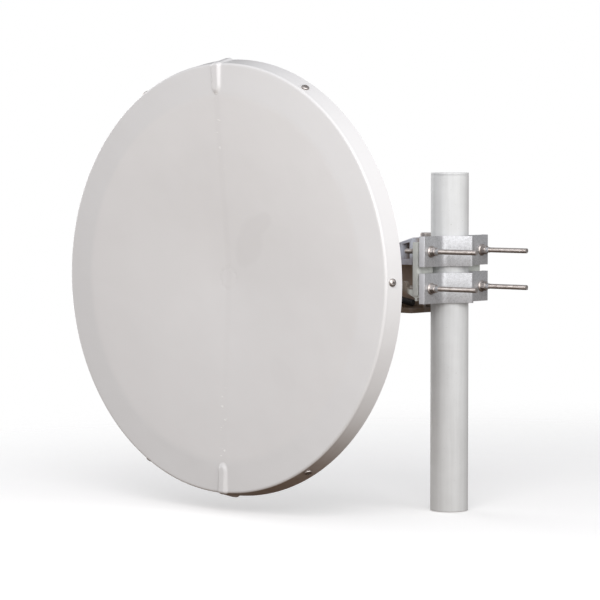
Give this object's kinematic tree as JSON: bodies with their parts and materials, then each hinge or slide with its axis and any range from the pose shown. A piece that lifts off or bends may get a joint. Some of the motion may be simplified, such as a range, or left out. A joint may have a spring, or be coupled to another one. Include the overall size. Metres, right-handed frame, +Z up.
{
  "type": "microwave dish antenna",
  "caption": "Shrouded parabolic microwave antenna with a white front cover, hung beside a short length of pole on a swinging cast mount and clamp jaws.",
  "frame": {"origin": "centre of the lower end face of the pole length that holds the antenna", "axes": "+Z up along the pole; the dish looks along -Y; the dish hangs beside the pole towards -X"},
  "size_m": [0.7109, 0.3493, 0.7217],
  "materials": {
    "cover_white": "glossy moulded white plastic",
    "spun_aluminium": "satin spun sheet",
    "cast_aluminium": "matt casting",
    "galvanised_steel": "speckled hot-dip zinc",
    "pole_grey": "smooth light grey",
    "stainless_steel": "bright drawn and rolled",
    "black_plastic": "satin black",
    "feed_plastic": "smooth off-white"
  },
  "bodies": {
    "pole_mount": {"pole": "pole_grey", "pole_foot_plug": "pole_grey", "pole_top_cap": "pole_grey", "pole_saddle": "cast_aluminium", "azimuth_pivot_bolt": "stainless_steel", "clamp_jaw_upper": "galvanised_steel", "clamp_jaw_lower": "galvanised_steel", "clamp_stud_1": "stainless_steel", "clamp_stud_2": "stainless_steel", "clamp_stud_3": "stainless_steel", "clamp_stud_4": "stainless_steel"},
    "antenna": {"radome": "cover_white", "radome_screw_1": "stainless_steel", "radome_screw_2": "stainless_steel", "radome_screw_3": "stainless_steel", "radome_screw_4": "stainless_steel", "radome_screw_5": "stainless_steel", "radome_screw_6": "stainless_steel", "reflector": "spun_aluminium", "antenna_hub": "cast_aluminium", "hub_bolt_1": "stainless_steel", "hub_bolt_2": "stainless_steel", "hub_bolt_3": "stainless_steel", "hub_bolt_4": "stainless_steel", "hub_bolt_5": "stainless_steel", "hub_bolt_6": "stainless_steel", "feed_tube": "spun_aluminium", "feed_head": "feed_plastic", "port_cover": "cast_aluminium", "swing_arm": "cast_aluminium", "tilt_pivot_bolt": "stainless_steel", "tilt_lock_bolt_upper": "stainless_steel", "tilt_lock_bolt_lower": "stainless_steel", "azimuth_screw": "stainless_steel", "azimuth_screw_cap": "black_plastic"}
  },
  "joints": [
    {"name": "azimuth_swing", "type": "hinge", "parent": "pole_mount", "child": "antenna", "pos_m": [-0.076, 0.036, 0.3745], "axis": [0, 0, 1], "range_deg": [-10, 10]}
  ]
}
